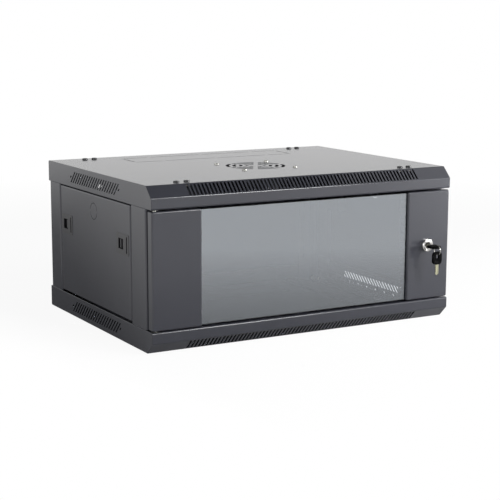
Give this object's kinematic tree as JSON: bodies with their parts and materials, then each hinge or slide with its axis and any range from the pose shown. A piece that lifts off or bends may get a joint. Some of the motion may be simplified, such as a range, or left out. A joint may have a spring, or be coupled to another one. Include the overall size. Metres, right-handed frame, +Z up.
{
  "type": "wall-mounted rack cabinet",
  "caption": "Low wall-mounted rack cabinet with a glazed lockable front door, lift-off side panels, a roof fan and adjustable square-hole rails.",
  "frame": {"origin": "centre of the base, on the surface the cabinet stands on", "axes": "+X to the right seen from the front, +Y to the back, +Z up"},
  "size_m": [0.6, 0.4916, 0.2806],
  "materials": {
    "powder_coat": "fine black powder coat on sheet steel, semi-matt",
    "tinted_glass": "grey tinted toughened glass, polished",
    "foam_tape": "black foam tape",
    "zinc_steel": "bright zinc plate",
    "black_zinc": "black zinc plate, satin",
    "lock_chrome": "polished chrome plate",
    "key_metal": "pale nickel-brass, stamped and cut",
    "ring_steel": "nickel-plated spring steel",
    "key_plastic": "moulded black plastic, satin gloss",
    "latch_plastic": "moulded black nylon, fine grain",
    "bush_nylon": "black nylon",
    "fan_casing": "black-painted die casting",
    "fan_plastic": "moulded black plastic"
  },
  "bodies": {
    "cabinet": {"top_cover": "powder_coat", "bottom_cover": "powder_coat", "front_left_post": "powder_coat", "front_right_post": "powder_coat", "rear_left_post": "powder_coat", "rear_right_post": "powder_coat", "back_panel": "powder_coat", "back_panel_screws": "black_zinc", "upper_left_carrier": "powder_coat", "upper_right_carrier": "powder_coat", "lower_left_carrier": "powder_coat", "lower_right_carrier": "powder_coat", "roof_carrier_screws": "black_zinc", "roof_carrier_nuts": "zinc_steel", "floor_carrier_screws": "black_zinc", "rear_left_rail": "powder_coat", "rear_right_rail": "powder_coat", "rear_left_rail_bolts": "zinc_steel", "rear_right_rail_bolts": "zinc_steel", "hinge_bushes": "bush_nylon", "fan_frame": "fan_casing", "fan_screws": "black_zinc"},
    "door": {"door_left_stile": "powder_coat", "door_right_stile": "powder_coat", "door_glass": "tinted_glass", "left_glass_tape": "foam_tape", "right_glass_tape": "foam_tape", "lower_hinge_pin": "zinc_steel", "hinge_bolt_bracket": "zinc_steel", "hinge_bolt_spring": "zinc_steel", "lock_housing": "lock_chrome", "lock_nut": "zinc_steel"},
    "hinge_bolt": {"upper_hinge_bolt": "zinc_steel"},
    "lock_barrel": {"lock_plug": "lock_chrome", "lock_cam": "zinc_steel", "cam_screw": "zinc_steel", "key_blade": "key_metal", "key_bow": "key_plastic"},
    "ring": {"key_ring": "ring_steel"},
    "spare_key": {"spare_key_blade": "key_metal", "spare_key_bow": "key_plastic"},
    "fan_rotor": {"fan_impeller": "fan_plastic"},
    "left_rail": {"front_left_rail": "powder_coat", "front_left_rail_bolts": "zinc_steel"},
    "right_rail": {"front_right_rail": "powder_coat", "front_right_rail_bolts": "zinc_steel"},
    "left_panel": {"left_side_panel": "powder_coat", "left_front_latch_housing": "latch_plastic", "left_rear_latch_housing": "latch_plastic"},
    "left_front_latch": {"left_front_latch_slider": "latch_plastic"},
    "left_rear_latch": {"left_rear_latch_slider": "latch_plastic"},
    "right_panel": {"right_side_panel": "powder_coat", "right_front_latch_housing": "latch_plastic", "right_rear_latch_housing": "latch_plastic"},
    "right_front_latch": {"right_front_latch_slider": "latch_plastic"},
    "right_rear_latch": {"right_rear_latch_slider": "latch_plastic"}
  },
  "joints": [
    {"name": "door_hinge", "type": "hinge", "parent": "cabinet", "child": "door", "pos_m": [-0.291, -0.2175, 0.139], "axis": [0, 0, -1], "range_deg": [0, 180]},
    {"name": "hinge_bolt_slide", "type": "slide", "parent": "door", "child": "hinge_bolt", "axis": [0, 0, -1], "range_m": [0, 0.009], "stiffness_N_per_m": 500, "springref_m": -0.006, "deforming": ["hinge_bolt_spring"]},
    {"name": "lock_turn", "type": "hinge", "parent": "door", "child": "lock_barrel", "pos_m": [0.25, -0.225, 0.139], "axis": [0, -1, 0], "range_deg": [0, 90]},
    {"name": "key_ring_swing", "type": "hinge", "parent": "lock_barrel", "child": "ring", "pos_m": [0.25, -0.2571, 0.14125], "axis": [0, 1, 0], "range_deg": [-20, 20]},
    {"name": "spare_key_swing", "type": "hinge", "parent": "ring", "child": "spare_key", "pos_m": [0.25, -0.2571, 0.12555], "axis": [0, 1, 0], "range_deg": [-60, 60]},
    {"name": "fan_spin", "type": "hinge", "parent": "cabinet", "child": "fan_rotor", "pos_m": [0, -0.037, 0.25], "axis": [0, 0, 1], "continuous": true},
    {"name": "left_rail_slide", "type": "slide", "parent": "cabinet", "child": "left_rail", "axis": [0, 1, 0], "range_m": [0, 0.1]},
    {"name": "right_rail_slide", "type": "slide", "parent": "cabinet", "child": "right_rail", "axis": [0, 1, 0], "range_m": [0, 0.1]},
    {"name": "left_panel_slide", "type": "slide", "parent": "cabinet", "child": "left_panel", "axis": [-1, 0, 0], "range_m": [0, 0.06]},
    {"name": "right_panel_slide", "type": "slide", "parent": "cabinet", "child": "right_panel", "axis": [1, 0, 0], "range_m": [0, 0.06]},
    {"name": "left_front_latch_slide", "type": "slide", "parent": "left_panel", "child": "left_front_latch", "axis": [0, -1, 0], "range_m": [0, 0.0065]},
    {"name": "left_rear_latch_slide", "type": "slide", "parent": "left_panel", "child": "left_rear_latch", "axis": [0, 1, 0], "range_m": [0, 0.0065]},
    {"name": "right_front_latch_slide", "type": "slide", "parent": "right_panel", "child": "right_front_latch", "axis": [0, -1, 0], "range_m": [0, 0.0065]},
    {"name": "right_rear_latch_slide", "type": "slide", "parent": "right_panel", "child": "right_rear_latch", "axis": [0, 1, 0], "range_m": [0, 0.0065]}
  ]
}
